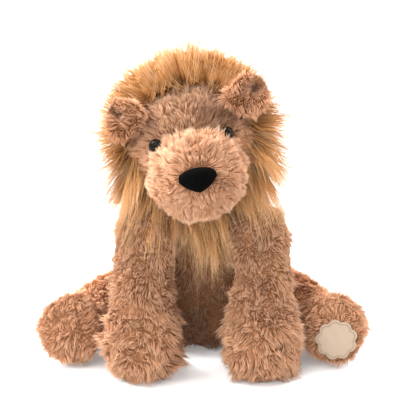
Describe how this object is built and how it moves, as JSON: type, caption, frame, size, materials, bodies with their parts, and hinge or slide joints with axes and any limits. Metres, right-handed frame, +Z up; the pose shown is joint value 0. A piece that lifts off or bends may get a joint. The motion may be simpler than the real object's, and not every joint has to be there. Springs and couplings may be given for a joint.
{
  "type": "plush lion",
  "caption": "Seated plush lion with a long-pile mane, cupped ears, button eyes, a padded nose, upright front legs, splayed hind legs and a tufted tail.",
  "frame": {"origin": "middle of the flat seat, on the surface the lion sits on", "axes": "+Z up, -Y the way the lion faces, +X to the lion's left"},
  "size_m": [0.293, 0.2758, 0.2792],
  "materials": {
    "chest_bib": "long golden pile",
    "closing_thread": "polyester sewing thread",
    "ear_back_left": "short curly plush pile",
    "ear_back_right": "short curly plush pile",
    "ear_front_left": "short plush pile, paler",
    "ear_front_right": "short plush pile, paler",
    "eye_left": "polished black plastic button",
    "eye_right": "polished black plastic button",
    "eye_washer_left": "moulded plastic",
    "eye_washer_right": "moulded plastic",
    "front_leg_cover_left": "short curly plush pile",
    "front_leg_cover_right": "short curly plush pile",
    "front_leg_filling_left": "loose polyester fibre",
    "front_leg_filling_right": "loose polyester fibre",
    "head_cover": "short curly plush pile",
    "head_filling": "loose polyester fibre",
    "hind_leg_cover_left": "short curly plush pile",
    "hind_leg_cover_right": "short curly plush pile",
    "hind_leg_filling_left": "loose polyester fibre",
    "hind_leg_filling_right": "loose polyester fibre",
    "mane": "long golden pile, dark at the roots",
    "muzzle_cover": "short curly plush pile, paler",
    "muzzle_filling": "loose polyester fibre",
    "neck_cover": "short curly plush pile",
    "neck_filling": "loose polyester fibre",
    "nose": "black velour over a padded form",
    "pellet_bag": "plain woven cotton bag with plastic pellets",
    "sole_panel_left": "short curly plush pile",
    "sole_panel_right": "short curly plush pile",
    "sole_patch": "cream felted patch with a stitched scalloped rim",
    "tail_cover": "short curly plush pile",
    "tail_filling": "loose polyester fibre",
    "tail_tuft": "long golden pile",
    "torso_cover": "short curly plush pile",
    "torso_filling": "loose polyester fibre"
  },
  "bodies": {
    "torso": {"torso_cover": "torso_cover", "torso_filling": "torso_filling", "pellet_bag": "pellet_bag", "closing_thread": "closing_thread", "chest_bib": "chest_bib"},
    "neck": {"neck_cover": "neck_cover"},
    "neck_core": {"neck_filling": "neck_filling"},
    "head": {"head_cover": "head_cover", "head_filling": "head_filling", "muzzle_cover": "muzzle_cover", "muzzle_filling": "muzzle_filling", "nose": "nose", "eye_left": "eye_left", "eye_right": "eye_right", "eye_washer_left": "eye_washer_left", "eye_washer_right": "eye_washer_right", "mane": "mane"},
    "ear_left": {"ear_back_left": "ear_back_left", "ear_front_left": "ear_front_left"},
    "ear_right": {"ear_back_right": "ear_back_right", "ear_front_right": "ear_front_right"},
    "front_leg_left": {"front_leg_cover_left": "front_leg_cover_left", "front_leg_filling_left": "front_leg_filling_left"},
    "front_leg_right": {"front_leg_cover_right": "front_leg_cover_right", "front_leg_filling_right": "front_leg_filling_right"},
    "hind_leg_left": {"hind_leg_cover_left": "hind_leg_cover_left", "hind_leg_filling_left": "hind_leg_filling_left", "sole_panel_left": "sole_panel_left", "sole_patch": "sole_patch"},
    "hind_leg_right": {"hind_leg_cover_right": "hind_leg_cover_right", "hind_leg_filling_right": "hind_leg_filling_right", "sole_panel_right": "sole_panel_right"},
    "tail": {"tail_cover": "tail_cover", "tail_filling": "tail_filling", "tail_tuft": "tail_tuft"}
  },
  "joints": [
    {"name": "neck_turn", "type": "hinge", "parent": "torso", "child": "neck", "pos_m": [0, -0.051, 0.136], "axis": [0, 0, 1], "range_deg": [-25, 25], "stiffness_Nm_per_rad": 0.8},
    {"name": "head_tilt", "type": "hinge", "parent": "neck", "child": "neck_core", "pos_m": [0, -0.051, 0.136], "axis": [0, -1, 0], "range_deg": [-18, 6], "stiffness_Nm_per_rad": 1.5},
    {"name": "head_nod", "type": "hinge", "parent": "neck_core", "child": "head", "pos_m": [0, -0.051, 0.136], "axis": [-1, 0, 0], "range_deg": [-10, 12], "stiffness_Nm_per_rad": 1.5},
    {"name": "ear_fold_left", "type": "hinge", "parent": "head", "child": "ear_left", "pos_m": [0.02612, -0.09897, 0.23544], "axis": [0.7187, 0.0314, -0.6947], "range_deg": [-5, 25], "stiffness_Nm_per_rad": 0.03},
    {"name": "ear_fold_right", "type": "hinge", "parent": "head", "child": "ear_right", "pos_m": [-0.05179, -0.10237, 0.22169], "axis": [0.438, 0.0191, 0.8988], "range_deg": [-5, 25], "stiffness_Nm_per_rad": 0.03},
    {"name": "front_leg_lift_left", "type": "hinge", "parent": "torso", "child": "front_leg_left", "pos_m": [0.024, -0.077, 0.122], "axis": [-1, 0, 0], "range_deg": [0, 55], "stiffness_Nm_per_rad": 0.3},
    {"name": "front_leg_lift_right", "type": "hinge", "parent": "torso", "child": "front_leg_right", "pos_m": [-0.024, -0.077, 0.122], "axis": [-1, 0, 0], "range_deg": [0, 55], "stiffness_Nm_per_rad": 0.3},
    {"name": "hind_leg_lift_left", "type": "hinge", "parent": "torso", "child": "hind_leg_left", "pos_m": [0.07, -0.011, 0.04399], "axis": [-1, 0, 0], "range_deg": [0, 30], "stiffness_Nm_per_rad": 0.3},
    {"name": "hind_leg_lift_right", "type": "hinge", "parent": "torso", "child": "hind_leg_right", "pos_m": [-0.07, -0.011, 0.04399], "axis": [-1, 0, 0], "range_deg": [0, 30], "stiffness_Nm_per_rad": 0.3},
    {"name": "tail_swing", "type": "hinge", "parent": "torso", "child": "tail", "pos_m": [0, 0.06677, 0.02], "axis": [0, 0, 1], "range_deg": [-15, 25], "stiffness_Nm_per_rad": 0.03}
  ]
}
